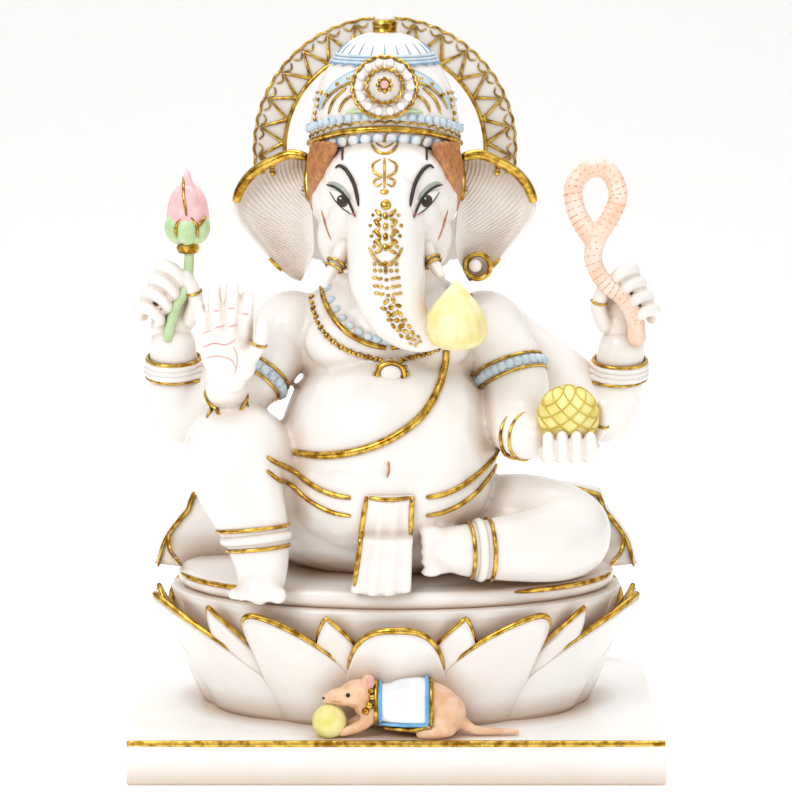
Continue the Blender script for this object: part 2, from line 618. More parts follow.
sockets = [smooth_path([(FACE_X + side * x, y, z) for x, y, z in SOCKET], 3) for side in (-1, 1)]
press(head, sockets, 8, 2.5)
folds = [smooth_path([(x0 - w, y + 16, z), (x0, y, z - 5), (x0 + w, y + 16, z)], 2)
         for x0, y, z, w in [(-8, -117, 285, 24), (-8, -120, 272, 24), (-6, -121, 259, 23), (0, -121, 247, 20)]]
press(head, folds, 2.4, 0.7)
head_skin = BVHTree.FromBMesh(head)
finish_regions(head, head_regions)


# --- ears: two broad fans of stone, hollowed and fluted in front, with a rolled upper rim ---
# Each is carved from the head block; the flutes are cut with a fine gouge about 3 mm apart.
EAR_ROOT = [(46, -22, 350), (54, -24, 334), (58, -26, 316), (57, -28, 298), (57, -28, 278), (66, -22, 257)]
EAR_RIM = [(60, -20, 354), (76, -16, 357), (92, -12, 351), (108, -8, 341), (119, -4, 326), (122, -2, 310),
           (114, -2, 295), (101, -4, 280), (89, -8, 267), (77, -13, 257), (68, -20, 254)]


def pick(points, share):
    """The point at this share, 0 to 1, of a path's points."""
    t = min(max(share, 0), 0.9999) * (len(points) - 1)
    return Vector(points[int(t)]).lerp(Vector(points[int(t) + 1]), t - int(t))


def ear_point(side, along_rim, out):
    """A point of the ear's front: along_rim runs from its top to its lobe, out from root to rim."""
    point = pick(ear_root_path, along_rim).lerp(pick(ear_rim_path, along_rim), out)
    hollow = math.sin(math.pi * min(1, out * 1.05)) ** 0.8
    flute = math.sin(along_rim * 200 + out * 60) * min(1, 6 * out) * min(1, max(0, 6 * (0.93 - out)))
    point.y += 9 * hollow * min(1, 4 * (1 - along_rim)) - 0.75 * flute * (along_rim > 0.06)
    point.y -= 5 * max(0, out - 0.88) / 0.12
    point.x = FACE_X + side * point.x
    return point


ear_root_path, ear_rim_path = smooth_path(EAR_ROOT, 2), smooth_path(EAR_RIM, 2)
for side, name in ((-1, "right_ear"), (1, "left_ear")):
    bm = bmesh.new()
    bmesh.ops.create_grid(bm, x_segments=290, y_segments=76, size=1)
    wall = {}
    for v in bm.verts:
        along_rim = (v.co.x + 1) / 2
        v.co = ear_point(side, along_rim, (v.co.y + 1) / 2)
        wall[tuple(v.co)] = 9 * min(1, 0.3 + 5 * (1 - along_rim))
    grown = bmesh.ops.extrude_face_region(bm, geom=bm.faces[:], use_keep_orig=True)["geom"]
    for v in corners_of(grown):
        v.co.y += wall[tuple(v.co)]
    finish_piece("fluted_" + name, bm, marble, [name], lift=SEAT)
bm = bmesh.new()
for side in (-1, 1):
    band = [ear_point(side, 0.02 + 0.46 * i / 40, 0.97) + Vector((0, -2.5, 0)) for i in range(41)]
    add_line(bm, band, 8.5, tip=0.8, sides=3)
    inner = smooth_path([tuple(ear_point(side, t, o) + Vector((0, -3, 0)))
                         for t, o in ((0.02, 0.97), (0.06, 0.55), (0.2, 0.2), (0.34, 0.06))], 2)
    add_line(bm, inner, 6.5, tip=0.6, sides=3)
    for t, o, r in ((0.23, 0.86, 2.4), (0.25, 0.80, 1.8), (0.27, 0.74, 2.6), (0.29, 0.86, 1.8)):
        spot = ear_point(side, t, o) + Vector((0, -1.2, 0))
        add_ball(bm, spot, r)
    bell = [ear_point(side, t, 1.0) + Vector((0, -2, 0)) for t in (0.80, 0.84, 0.88)]
    add_line(bm, bell, 4.2, tip=0.7)
    for i in range(9):
        add_line(bm, [tuple(ear_point(side, 0.10 + 0.028 * i, o) + Vector((0, -0.8, 0))) for o in
                      (0.12, 0.2, 0.28 - 0.01 * i)], 1.5, tip=0.2, sides=1)
finish_piece("ear_rim_gilding", bm, gold, ["ear_rims"], lift=SEAT)


def ring_points(place, radius, height, count=72, wave=0.0, waves=0):
    """A closed ring on the place's plane; wave scallops its radius."""
    turns = [2 * math.pi * i / count for i in range(count)]
    reaches = [radius + wave * abs(math.sin(waves * turn / 2)) for turn in turns]
    return [place @ Vector((r * math.cos(t), r * math.sin(t), height)) for r, t in zip(reaches, turns)]


upright = Matrix.Rotation(math.radians(90), 4, "X")
ring_mid = sum(box_mm("earring"), Vector()) / 2
hoop, pearl = bmesh.new(), bmesh.new()
add_line(hoop, ring_points(Matrix.Translation(ring_mid) @ upright, 10, 0, 48), 4.4, closed=True, sides=4)
add_ball(pearl, ring_mid + Vector((-2, -3, 1)), 5.2, 3)
finish_piece("gold_earring", hoop, gold, ["earring"])
finish_piece("earring_pearl", pearl, marble)


# --- tusks: short white cones, each with a gilded ring where it leaves the cheek ---
# They are let into the face from below the cheeks.
ring_bm = bmesh.new()
for side, length, name in ((-1, 36, "right_tusk"), (1, 28, "left_tusk")):
    root = Vector((FACE_X + side * 31, -78, 288))
    way = Vector((0.42 * side, -0.36, -0.72)).normalized()
    masses = []
    for t in (i / 10 for i in range(11)):
        centre = root + way * (length * t) + Vector((0, -3 * t * t, 3 * t * t))
        masses.append((tuple(centre), (8.2 - 4.6 * t,) * 3))
    finish_piece("polished_" + name, carve(masses, 1.2, 3), marble, [name], lift=SEAT)
    spin = way.to_track_quat("Z", "Y").to_matrix().to_4x4()
    for at, r in ((0.40, 8.0), (0.52, 7.4)):
        place = Matrix.Translation(root + way * (length * at)) @ spin
        add_line(ring_bm, ring_points(place, r, 0, 36), 2.2, closed=True)
finish_piece("tusk_rings", ring_bm, gold, lift=SEAT)


# --- hair: locks at the temples, under the crown ---
# Painted in umber enamel over carved strands.
def enamel(name, light, dark, scale=60.0, roughness=0.32):
    """A brushed-on enamel paint: two close tones in soft strokes, satin, sunk a little in the polish."""
    material, tree, surface = new_material(name)
    place = add_node(tree, "ShaderNodeTexCoord").outputs["Object"]
    stroke = add_node(tree, "ShaderNodeTexNoise", [("Vector", place), ("Scale", scale), ("Detail", 3.0)])
    tint = two_tones(tree, stroke.outputs["Fac"], (0.35, dark), (0.62, light))
    tree.links.new(tint, surface.inputs["Base Color"])
    add_bump(tree, surface, stroke.outputs["Fac"], 0.12, 0.0008)
    surface.inputs["Roughness"].default_value = roughness
    return material


umber = enamel("umber_hair_enamel", "#C98A55", "#A7673A", scale=220)
masses = []
for side in (-1, 1):
    for i in range(5):
        masses += along([(FACE_X + side * (41 + 3.4 * i), -62 + 7.5 * i, 366, 4.2),
                         (FACE_X + side * (48 + 2.4 * i), -58 + 7 * i, 350, 4.8),
                         (FACE_X + side * (53 + 1.2 * i), -50 + 5 * i, 336 - 2 * i, 4.2),
                         (FACE_X + side * (55 + 0.5 * i), -44 + 4 * i, 326 - 3 * i, 2.4)], 0.4)
finish_piece("temple_locks", carve(masses, 1.2, 2), umber, ["hair_locks"], lift=SEAT)


# --- face painting: eyes, brows, forehead marks ---
# Enamel laid with a fine brush on the polished stone: white, brown and black, then a gilded mark.
def over(skin, x, z, lift=0.0):
    """The point of the skin straight behind (x, z) as seen from the front, raised off it by lift."""
    hit, normal = skin.ray_cast(Vector((x, -300, z)), Vector((0, 1, 0)))[:2]
    return None if hit is None else hit + normal * lift


def laid(skin, points, step=1.5, lift=0.0):
    """A smooth path through (x, z) points, laid on the skin."""
    spots = [over(skin, p[0], p[1], lift) for p in smooth_path([(x, z, 0) for x, z in points], step)]
    return [p for p in spots if p is not None]


def relief(bm, skin, points, width, step=1.2, lift=0.5, **shape):
    """A raised line through (x, z) points, laid on the skin."""
    add_line(bm, laid(skin, points, step, lift), width, **shape)


def add_patch(bm, skin, outline, lift=0.35, thick=1.2):
    """A thin painted patch with this (x, z) outline, shrunk down onto the skin."""
    sheet = bmesh.new()
    sheet.faces.new([sheet.verts.new((x, 0, z)) for x, z, _ in
                     smooth_path([(x, z, 0) for x, z in outline + outline[:1]], 1.0)[:-1]])
    bmesh.ops.poke(sheet, faces=sheet.faces[:])
    bmesh.ops.subdivide_edges(sheet, edges=[e for e in sheet.edges if not e.is_boundary], cuts=4)
    bmesh.ops.triangulate(sheet, faces=sheet.faces[:])
    for v in sheet.verts:
        spot = over(skin, v.co.x, v.co.z, lift)
        v.co = spot if spot is not None else (v.co.x, -80, v.co.z)
    grown = bmesh.ops.extrude_face_region(sheet, geom=sheet.faces[:], use_keep_orig=True)["geom"]
    bmesh.ops.translate(sheet, vec=(0, thick, 0), verts=corners_of(grown))
    bmesh.ops.recalc_face_normals(sheet, faces=sheet.faces)
    pour(sheet, bm)


def mirrored(points, side):
    """(x, z) points given on the idol's left of the face's middle line, placed on this side."""
    return [(FACE_X + side * x, z) for x, z in points]


def round_outline(x, z, rx, rz, count=20):
    """An ellipse of (x, z) points."""
    return [(x + rx * math.cos(2 * math.pi * i / count), z + rz * math.sin(2 * math.pi * i / count))
            for i in range(count)]


eye_white = enamel("white_eye_enamel", "#FBFAF8", "#F3EFEA")
black = enamel("black_line_enamel", "#2A2320", "#171412")
brown_iris = enamel("brown_iris_enamel", "#4A3426", "#2A1C14")
lid_grey = enamel("grey_green_lid_enamel", "#B4BDAE", "#9FA998")
rose = enamel("rose_enamel", "#F0B4B0", "#E59D9B")
white_bm, black_bm, iris_bm, lid_bm, rose_bm = (bmesh.new() for _ in range(5))
EYE = [(43, 333.5), (37, 333), (31, 329), (26, 322), (23.5, 316.5), (29, 317.5), (35, 321), (40, 327)]
LID = [(44.5, 339), (39, 340), (32.5, 336.8), (27, 330), (27, 326.5), (33, 333), (39, 336.6)]
LASH = [(45.5, 337), (40, 336.2), (34, 332.8), (28.5, 326.5), (24.5, 319), (22.5, 314.5)]
UNDER = [(43, 331.5), (38, 324.6), (32, 319.2), (26, 316)]
BROW = [(38.6, 350.4), (35.5, 352.6), (31, 350.8), (26.8, 345.6), (23, 338), (20.6, 329), (19.9, 323)]
DASH = [(32.9, 369), (33, 357)]
for side in (-1, 1):
    iris_x, iris_z = FACE_X + side * 32.6, 325.4
    add_patch(white_bm, head_skin, mirrored(EYE, side), 0.5)
    add_patch(iris_bm, head_skin, round_outline(iris_x, iris_z, 4.4, 4.9), 0.9)
    add_patch(black_bm, head_skin, round_outline(iris_x, iris_z, 2.2, 2.4), 1.2)
    add_patch(white_bm, head_skin, round_outline(iris_x - 1.4, iris_z + 1.8, 0.8, 0.9, 8), 1.5)
    for points, width, lift, tip in ((LASH, 2.1, 0.6, 0.25), (UNDER, 1.0, 0.5, 0.3), (BROW, 3.3, 0.5, 0.15),
                                     (DASH, 1.9, 0.4, 0.7)):
        relief(black_bm, head_skin, mirrored(points, side), width, lift=lift, tip=tip)
    add_patch(lid_bm, head_skin, mirrored(LID, side), 0.25)
    add_patch(rose_bm, head_skin, round_outline(FACE_X + side * 23.8, 316.6, 1.6, 1.7, 10), 0.8)
for name, bm, paint in (("eye_whites", white_bm, eye_white), ("eye_lines", black_bm, black),
                        ("eye_irises", iris_bm, brown_iris), ("eye_lids", lid_bm, lid_grey),
                        ("eye_corners", rose_bm, rose)):
    finish_piece(name, bm, paint, ["eyes"] if name == "eye_whites" else (), lift=SEAT)


# --- trunk ornament: gilded leaves, dots and scrolls down the forehead and the trunk ---
# Raised size, gilded and burnished; a generic leaf pattern.
def add_leaf(bm, skin, x, z, length, width, turn, lift=0.2, height=1.0):
    """A gilded leaf on the skin, centred at (x, z), turned in degrees from upright."""
    spot = over(skin, x, z, lift)
    if spot is None:
        return
    normal = skin.ray_cast(Vector((x, -300, z)), Vector((0, 1, 0)))[1]
    face = normal.to_track_quat("Y", "Z").to_matrix().to_4x4()
    place = Matrix.Translation(spot) @ face @ Matrix.Rotation(math.radians(turn), 4, "Y")
    add_ellipsoid(bm, place, (width / 2, height, length / 2))


def trunk_middle(share):
    """The middle line of the ornament, from the brow (0) to near the trunk's tip (1)."""
    t = share * (len(trunk_line) - 1)
    a, b = trunk_line[int(t)], trunk_line[min(int(t) + 1, len(trunk_line) - 1)]
    lean = math.degrees(math.atan2(b[0] - a[0], a[1] - b[1])) if a != b else 0
    return a[0] + (b[0] - a[0]) * (t % 1), a[1] + (b[1] - a[1]) * (t % 1), lean


TRUNK_FRONT = [(-8, 324, 0), (-8, 300, 0), (-8, 278, 0), (-6, 256, 0), (-1, 240, 0), (8, 227, 0), (17, 218, 0)]
trunk_line = [(x, z) for x, z, _ in smooth_path(TRUNK_FRONT, 2)]
CRESCENT = [(-11, 370), (-6, 364.5), (0, 363), (6, 364.5), (11, 370)]
SCROLL = [(3, 359), (9, 355), (8, 349), (2.5, 346), (8, 343), (6, 339), (2, 341)]
bm = bmesh.new()
relief(bm, head_skin, mirrored(CRESCENT, 1), 2.6, 1.2, 0.3, tip=0.3)
relief(bm, head_skin, mirrored([(-7, 370), (0, 367.2), (7, 370)], 1), 1.6, 1.2, 0.3, tip=0.3)
relief(bm, head_skin, mirrored([(0, 360), (0, 350), (0, 338)], 1), 1.8, 1.0, 0.3, tip=0.4)
for side in (-1, 1):
    relief(bm, head_skin, mirrored(SCROLL, side), 1.8, 1.0, 0.3, tip=0.4)
    relief(bm, head_skin, [(-8 + side * 13, 293), (-8 + side * 8, 285), (-8, 279)], 2.2, 1.0, 0.3, tip=0.5)
add_leaf(bm, head_skin, FACE_X, 335, 5, 7, 0)
add_leaf(bm, head_skin, FACE_X + 1, 325.5, 8.4, 8.4, 0, height=1.8)
for share, spread in ((0.06, 10), (0.13, 12), (0.20, 11), (0.27, 9)):
    x, z, lean = trunk_middle(share)
    add_leaf(bm, head_skin, x, z, 6.5, 4.2, lean)
    for side in (-1, 1):
        add_leaf(bm, head_skin, x + side * spread * 0.55, z + 2.2, 8.5, 3.4, lean - side * 42)
        add_leaf(bm, head_skin, x + side * spread * 0.62, z - 3.2, 7.0, 3.0, lean - side * 118)
        add_leaf(bm, head_skin, x + side * spread, z + 0.4, 3.0, 3.0, lean)
for share in (0.385, 0.43):
    x, z, lean = trunk_middle(share)
    for across in (-8.5, -4.2, 0, 4.2, 8.5):
        add_leaf(bm, head_skin, x + across, z, 3.2 if across else 5.4, 3.2, lean)
for share in (0.49, 0.545, 0.60):
    x, z, lean = trunk_middle(share)
    for across in (-9, -5, 0, 5, 9):
        add_leaf(bm, head_skin, x + across, z + abs(across) * 0.16, 2.6, 4.6 if across else 3.4, lean)
for share, size in ((0.68, 11), (0.78, 10.5), (0.88, 9.5), (0.97, 8)):
    x, z, lean = trunk_middle(share)
    add_leaf(bm, head_skin, x, z, size * 0.42, size * 0.42, lean)
    for k in range(6):
        way, reach = math.radians(60 * k + lean), size * 0.52
        add_leaf(bm, head_skin, x + reach * math.sin(way), z + reach * math.cos(way), reach, size * 0.3,
                 60 * k + lean)
finish_piece("trunk_gilding", bm, gold, ["trunk_ornament"], lift=SEAT)
bm = bmesh.new()
for side in (-1, 1):
    for k in range(2):
        stroke = [(50 - 2.5 * k, 316 - 6 * k), (47.5 - 2.5 * k, 307 - 6 * k), (44 - 2 * k, 299 - 5 * k)]
        relief(bm, head_skin, mirrored(stroke, side), 1.2, lift=0.2, tip=0.2, sides=1)
finish_piece("cheek_strokes", bm, umber, lift=SEAT)


# --- crown: a domed cap of stone with painted bands, gilded arches and a leaning rosette ---
# It is turned from one block and dowelled to the head; its lower edge rises over the brow.
CROWN_Y, CROWN_FOOT = -8, 362
PROFILE = [(56.5, -3), (58, 0), (59, 6), (60.2, 14), (60, 24), (57.5, 36), (53.5, 48), (47.5, 60), (40, 72),
           (31, 82), (20, 88.5), (9, 91.5), (0.01, 92)]


def crown_radius(height):
    """Radius of the crown at this height above its foot."""
    for (r0, z0), (r1, z1) in zip(crown_path, crown_path[1:]):
        if z0 <= height <= z1:
            return r0 + (r1 - r0) * (height - z0) / (z1 - z0)
    return crown_path[0][0] if height < crown_path[0][1] else 0.5


def crown_point(turn, height, lift=0.0):
    """A point of the crown: turn in degrees from straight in front, positive to the idol's left."""
    t = math.radians(turn - 90)
    fade = min(1.0, max(0.0, (62 - height) / 48))
    rise = fade * (17 * max(0, math.cos(math.radians(turn))) ** 1.3 - 6)
    r = crown_radius(height) + lift
    return Vector((FACE_X + r * math.cos(t), CROWN_Y + r * math.sin(t), CROWN_FOOT + height + rise))


crown_path = [(r, z) for r, z, _ in smooth_path([(r, z, 0) for r, z in PROFILE], 3)]
bm = bmesh.new()
wall = [bm.verts.new((r, 0, z)) for r, z in crown_path]
spine = [bm.edges.new(pair) for pair in zip(wall, wall[1:])]
bmesh.ops.spin(bm, geom=spine + wall, cent=(0, 0, 0), axis=(0, 0, 1), angle=2 * math.pi, steps=120,
               use_merge=True)
bmesh.ops.remove_doubles(bm, verts=bm.verts, dist=0.05)
bmesh.ops.holes_fill(bm, edges=[e for e in bm.edges if e.is_boundary], sides=0)
for v in bm.verts:
    turn = math.degrees(math.atan2(v.co.x, -v.co.y))
    if math.hypot(v.co.x, v.co.y) > 1:
        v.co = crown_point(turn, v.co.z)
        # the top of the cap is puckered into pleats
        if v.co.z > CROWN_FOOT + 64:
            pleat = 1 - 0.018 * (1 - abs(math.cos(math.radians(turn) * 11)))
            v.co.x, v.co.y = FACE_X + (v.co.x - FACE_X) * pleat, CROWN_Y + (v.co.y - CROWN_Y) * pleat
    else:
        v.co += Vector((FACE_X, CROWN_Y, CROWN_FOOT))
cap = finish_piece("domed_crown", bm, marble, ["crown"], lift=SEAT)
cap.data.set_sharp_from_angle(angle=math.radians(50))

pale_blue = enamel("pale_blue_enamel", "#D5E3EC", "#BFD4E2", scale=90)
line_blue = enamel("sky_blue_line_enamel", "#8FBEE0", "#6FA8D2", scale=90)
sage = enamel("pale_green_enamel", "#CFE6B8", "#BBD8A0")
frill_white = enamel("milk_white_enamel", "#F6F8FA", "#DFE8EF", scale=70)
blue_bm, line_bm, gold_bm, green_bm, pleat_bm = (bmesh.new() for _ in range(5))


def crown_run(first, last, height, count=60, lift=0.0, wave=0.0, waves=0):
    """Points round the crown at a height, which may be a function of the turn; wave scallops it."""
    run = []
    for i in range(count + 1):
        turn = first + (last - first) * i / count
        h = height(turn) if callable(height) else height
        run.append(crown_point(turn, h + wave * abs(math.sin(math.pi * waves * i / count)), lift))
    return run


def arch(turn, low, high, half):
    """Height of an arch that stands over the brow between -half and half degrees."""
    return low + (high - low) * math.sqrt(max(0.0, 1 - (turn / half) ** 2))


# band of gold above the frill, the frill's scallops, the two bead rows
add_line(gold_bm, crown_run(-180, 180, 8, 200, 1.2)[:-1], 5.5, closed=True, sides=3)
add_line(gold_bm, crown_run(-180, 180, 12.6, 160, 0.4, 1.6, 40)[:-1], 1.6, closed=True)
for i in range(52):
    turn = -180 + 360 * i / 52
    spot = crown_point(turn, 19, 0.4)
    bmesh.ops.create_uvsphere(blue_bm, u_segments=12, v_segments=8, radius=3.3,
                              matrix=Matrix.Translation(spot))
    if i % 2:
        fleck = crown_point(turn + 3.4, 21.5, 2.6)
        add_ball(line_bm, fleck, 0.9, 1)
for i in range(36):
    turn = -180 + 10 * i
    fold = [crown_point(turn + 0.4 * h, h, 1.7) for h in (-3, -1, 2, 5.5)]
    add_line(line_bm if i % 3 else gold_bm, fold, 1.3, tip=0.3, sides=1)
    puff = crown_point(turn + 5, 1.0, 0)
    spin = Matrix.Rotation(math.radians(turn + 5), 4, "Z")
    add_ellipsoid(pleat_bm, Matrix.Translation(puff) @ spin, (4.9, 2.6, 5.2))
# the wide pale-blue arch with gold dots, edged in gold, and the dashed arch inside it
for h in (0, 1.6, 3.2, 4.8, 6.4):
    bow = crown_run(-62, 62, lambda t: arch(t, 26 - h * 0.2, 66 - h * 1.05, 63), 70, 0.5)
    add_line(blue_bm, bow, 3.2, sides=1)
add_line(line_bm, crown_run(-63, 63, lambda t: arch(t, 26, 68.4, 64), 80, 0.9), 1.3)
add_line(gold_bm, crown_run(-57, 57, lambda t: arch(t, 25, 57.5, 58), 80, 1.0, 0.9, 18), 1.9)
for turn in (-54, -44, -34, -23, 23, 34, 44, 54):
    spot = crown_point(turn, arch(turn, 26, 62.5, 61), 1.6)
    add_ball(gold_bm, spot, 1.9)
for side in (-1, 1):
    for spots in (((48, 26), (44, 38), (34, 48)), ((37, 26), (34, 35), (27, 41))):
        spray = smooth_path([crown_point(side * t, h, 0.6) for t, h in spots], 2)
        add_line(gold_bm, spray, 2.4, tip=0.3)
    add_line(green_bm, [crown_point(side * t, 25.5, 0.3) for t in (8, 16, 24, 30)], 4.2, tip=0.3)
    for k in range(5):
        add_ball(gold_bm, crown_point(side * (66 + 2.2 * (k % 2)), 24 + 5.2 * k, 0.8), 1.8)
    # bands on the rear half of the cap, as in front
    add_line(blue_bm, crown_run(side * 72, side * 180, 40, 50, 0.3), 3.6)
    add_line(gold_bm, crown_run(side * 72, side * 180, 45, 50, 0.4), 1.8)
# scalloped pale-blue roof over the pleats
for h in (69, 71.5, 74):
    add_line(blue_bm, crown_run(-180, 180, h, 120, 0.35)[:-1], 3.0, closed=True, sides=1)
add_line(line_bm, crown_run(-180, 180, 66.5, 180, 0.9, 2.2, 22)[:-1], 1.3, closed=True)
for i in range(22):
    turn = -180 + 360 * i / 22
    add_line(line_bm, [crown_point(turn, h, 0.5) for h in (72, 76, 80, 84)], 1.2, tip=0.2, sides=1)
finish_piece("crown_gilding", gold_bm, gold, ["crown_band"], lift=SEAT)
finish_piece("crown_blue_bands", blue_bm, pale_blue, ["crown_beads"], lift=SEAT)
finish_piece("crown_blue_lines", line_bm, line_blue, lift=SEAT)
finish_piece("crown_frill", pleat_bm, frill_white, lift=SEAT)
finish_piece("crown_green_tint", green_bm, sage, lift=SEAT)


# --- rosette: a leaning disc on the front of the crown, in rings of petals round a pink boss ---
# Carved with the crown; its rings are gilded.
ROSETTE_TILT = math.radians(90 - 24)
rosette_at = crown_point(0, 47, -1)
stand = Matrix.Translation(rosette_at) @ Matrix.Rotation(ROSETTE_TILT, 4, "X")


def add_dish(bm, place, profile, steps=64):
    """A turned form: (radius, height) profile spun about the place's own upright axis."""
    part = bmesh.new()
    rim = [part.verts.new((r, 0, z)) for r, z in profile]
    edges = [part.edges.new(pair) for pair in zip(rim, rim[1:])]
    bmesh.ops.spin(part, geom=rim + edges, cent=(0, 0, 0), axis=(0, 0, 1), angle=2 * math.pi, steps=steps,
                   use_merge=True)
    bmesh.ops.remove_doubles(part, verts=part.verts, dist=0.01)
    bmesh.ops.recalc_face_normals(part, faces=part.faces)
    bmesh.ops.transform(part, matrix=place, verts=part.verts)
    pour(part, bm)


disc, rings, boss = bmesh.new(), bmesh.new(), bmesh.new()
DISC_PROFILE = [(0, -14), (24, -14), (26, -3), (25.5, 0.5), (22, 2.6), (16, 2.4), (14.5, 4.6), (8, 4.8),
                (7, 6.8), (0, 7.4)]
add_dish(disc, stand, DISC_PROFILE)
for i in range(14):
    turn = 2 * math.pi * i / 14
    petal = stand @ Matrix.Translation((20 * math.cos(turn), 20 * math.sin(turn), 2.4))
    add_ellipsoid(disc, petal @ Matrix.Rotation(turn, 4, "Z"), (4.4, 3.6, 1.9))
add_line(rings, ring_points(stand, 24.6, 2.0, 112, 1.5, 28), 2.6, closed=True)
add_line(rings, ring_points(stand, 13.4, 5.2, 96, 1.6, 16), 2.4, closed=True)
for i in range(8):
    turn = 2 * math.pi * i / 8
    spot = stand @ Vector((5.2 * math.cos(turn), 5.2 * math.sin(turn), 7.2))
    add_ball(rings, spot, 1.9)
add_ball(boss, stand @ Vector((0, 0, 7.4)), 3.6, 3)
finish_piece("rosette_disc", disc, marble, ["crown_rosette"], lift=SEAT)
finish_piece("rosette_rings", rings, gold, lift=SEAT)
finish_piece("rosette_boss", boss, rose, lift=SEAT)


# --- finial: a gilded drum with a bead of white stone on the crown's top ---
# Turned separately and pinned.
top = Matrix.Translation((FACE_X, CROWN_Y, CROWN_FOOT + 88))
drum, bead = bmesh.new(), bmesh.new()
DRUM_PROFILE = [(0, 0), (11, 0), (12, 1.5), (10.6, 3.2), (9.4, 4.2), (9.8, 8), (9.6, 12), (8.2, 13.4),
                (0, 13.4)]
add_dish(drum, top, DRUM_PROFILE, 48)
add_dish(bead, top, [(0, 12), (8.0, 12), (8.2, 14.5), (7.0, 17.4), (4.4, 20.2), (2.2, 21.6), (0, 22)], 48)
finish_piece("finial_drum", drum, gold, ["crown_finial"], lift=SEAT)
finish_piece("finial_bead", bead, marble, lift=SEAT)


# --- aureole: a flat ring of stone behind the head, scalloped and gilded in a zigzag ---
# Two pins hold it to the shoulders.
AUREOLE_OUT, AUREOLE_BAND, AUREOLE_Z, AUREOLE_FRONT = 106, 25, 355, 40.5
bm = bmesh.new()
bmesh.ops.create_circle(bm, segments=216, radius=1)
rim_edges = bm.edges[:]
grown = bmesh.ops.extrude_edge_only(bm, edges=rim_edges)["geom"]
inner = corners_of(grown)
outer = [v for v in bm.verts if v not in set(inner)]
for v in outer:
    turn = math.atan2(v.co.y, v.co.x)
    v.co = Vector((math.cos(turn), 0, math.sin(turn))) * (AUREOLE_OUT + 2.6 * abs(math.sin(turn * 27)))
for v in inner:
    turn = math.atan2(v.co.y, v.co.x)
    v.co = Vector((math.cos(turn), 0, math.sin(turn))) * (AUREOLE_OUT - AUREOLE_BAND)
grown = bmesh.ops.extrude_face_region(bm, geom=bm.faces[:], use_keep_orig=True)["geom"]
bmesh.ops.translate(bm, vec=(0, 13, 0), verts=corners_of(grown))
bmesh.ops.translate(bm, vec=(FACE_X, AUREOLE_FRONT, AUREOLE_Z), verts=bm.verts)
bmesh.ops.recalc_face_normals(bm, faces=bm.faces)
ring = finish_piece("aureole_ring", bm, marble, ["aureole"], lift=SEAT)
ring.data.set_sharp_from_angle(angle=math.radians(35))


def aureole_point(turn, radius, lift=0.6):
    """A point of the aureole's front face; turn in degrees from straight up."""
    t = math.radians(90 - turn)
    return Vector((FACE_X + radius * math.cos(t), AUREOLE_FRONT - lift, AUREOLE_Z + radius * math.sin(t)))


bm = bmesh.new()
add_line(bm, [aureole_point(-128 + 256 * i / 160, AUREOLE_OUT - AUREOLE_BAND + 1.2) for i in range(161)], 3.6)
low, high = AUREOLE_OUT - AUREOLE_BAND + 2.5, AUREOLE_OUT - 2.5
for i in range(-9, 10):
    middle = i * 13.33
    zigzag = [aureole_point(middle + turn, radius) for turn, radius in ((-6.67, low), (0, high), (6.67, low))]
    add_line(bm, zigzag, 3.3, tip=1)
    for k in (-1, 0):
        first = middle + 6.667 * k
        swell = [(t / 10, math.sin(math.pi * t / 10)) for t in range(11)]
        scallop = [aureole_point(first + 6.667 * t, AUREOLE_OUT + 1.6 * rise) for t, rise in swell]
        add_line(bm, scallop, 2.3, tip=0.5)
        cup = [aureole_point(first + 0.9 + 4.9 * t, AUREOLE_OUT - 2.2 - 3.4 * rise) for t, rise in swell]
        add_line(bm, cup, 1.4, tip=0.4, sides=1)
finish_piece("aureole_gilding", bm, gold, lift=SEAT)


# --- necklaces, pendant and sacred thread: raised lines cut on the chest and belly ---
# Gilded, with pale-blue scallops inside the upper necklace.
lines, scallops, chain, thread = (bmesh.new() for _ in range(4))
COLLAR = [(-64, 262), (-60, 246), (-52, 231), (-40, 219), (-24, 210), (-8, 206)]
collar_mid = Vector((-6, 262))
for run in (COLLAR, [(-12 - x, z) for x, z in COLLAR]):
    relief(lines, body_skin, run, 4.6, 1.5, 0.6, tip=0.7)
    for x, z, _ in smooth_path([(x, z, 0) for x, z in run], 7.4):
        spot = Vector((x, z)) + (collar_mid - Vector((x, z))).normalized() * 5.2
        at = over(body_skin, spot.x, spot.y, 0.6)
        if at:
            add_ellipsoid(scallops, Matrix.Translation(at), (3.6, 1.8, 3.6))
CHAIN = [(-68, 258), (-68, 240), (-62, 224), (-50, 211), (-34, 202), (-20, 198), (-12, 196)]
LINK = 3.4
for run in (CHAIN, [(-8 - x, z) for x, z in CHAIN]):
    for i, p in enumerate(laid(body_skin, run, LINK, 1.0)):
        twist = Matrix.Rotation(math.radians(35 if i % 2 else -35), 4, "Y")
        add_ellipsoid(chain, Matrix.Translation(p) @ twist, (2.9, 2.2, 1.9), 1)
finish_piece("collar_line", lines, gold, ["necklace_chain"], lift=SEAT)
finish_piece("collar_scallops", scallops, pale_blue, ["necklace_beads"], lift=SEAT)
finish_piece("rope_chain", chain, gold, lift=SEAT)
plate, stone = bmesh.new(), bmesh.new()
at = over(body_skin, -4, 187, 0.5)
facing = Matrix.Translation(at) @ upright
oval = facing @ Matrix.Diagonal((1.25, 1.0, 1, 1))
add_dish(plate, oval, [(0, -2), (9.6, -2), (10.4, 0), (9.4, 2.2), (7.8, 2.4), (7.2, 1.4), (0, 1.4)], 48)
for turn in range(0, 360, 30):
    way = math.radians(turn)
    add_ball(plate, facing @ Vector((13.4 * math.cos(way), 11.0 * math.sin(way), 0.6)), 1.7, 1)
add_dish(stone, oval, [(0, 1.2), (6.8, 1.2), (6.4, 2.6), (4.2, 3.8), (0, 4.2)], 48)
